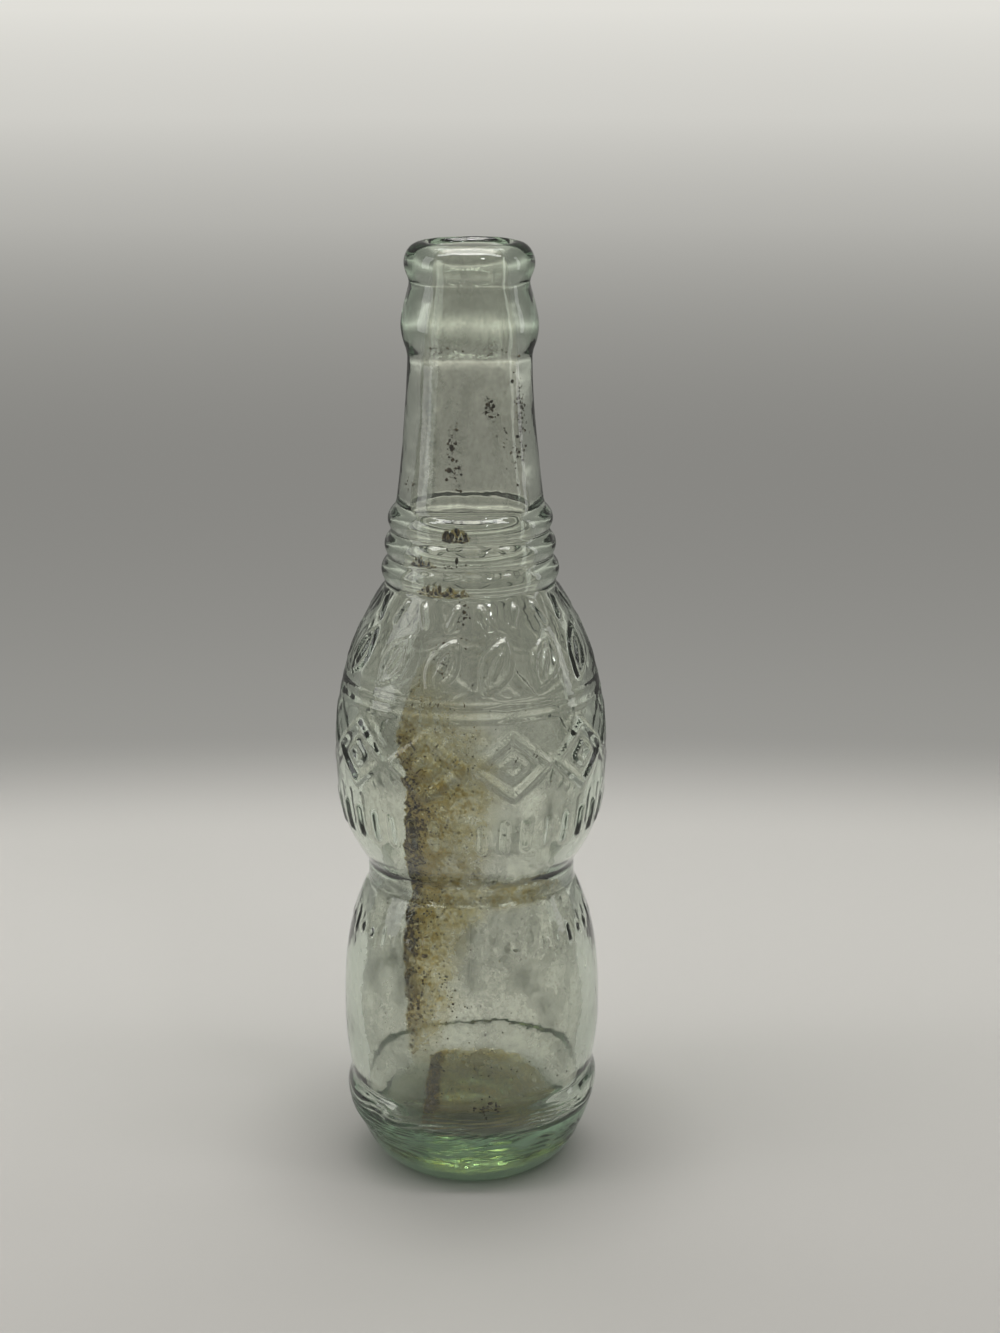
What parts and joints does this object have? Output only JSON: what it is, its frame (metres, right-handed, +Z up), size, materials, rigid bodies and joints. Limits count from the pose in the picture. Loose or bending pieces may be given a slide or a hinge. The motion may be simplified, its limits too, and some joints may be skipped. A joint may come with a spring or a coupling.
{
  "type": "soda bottle",
  "caption": "Empty moulded glass soda bottle, waisted between an upper and a lower bulge, with neck rings, raised ornament and a crown finish.",
  "frame": {"origin": "centre of the bearing ring, on the surface that the bottle stands on", "axes": "+Z up along the bottle's axis towards the mouth, -Y towards the front with the main residue streak, +X to the right seen from the front"},
  "size_m": [0.0578, 0.0576, 0.1969],
  "materials": {
    "clear_glass": "clear, faintly green, fire-polished with slight waviness and wear",
    "dried_residue": "thin matte brown dried film"
  },
  "bodies": {
    "root": {"glass_bottle": "clear_glass", "residue_streak": "dried_residue", "residue_fleck_shoulder": "dried_residue", "residue_fleck_low_ring": "dried_residue", "residue_fleck_middle_ring": "dried_residue", "residue_floor_strip": "dried_residue"}
  },
  "joints": []
}
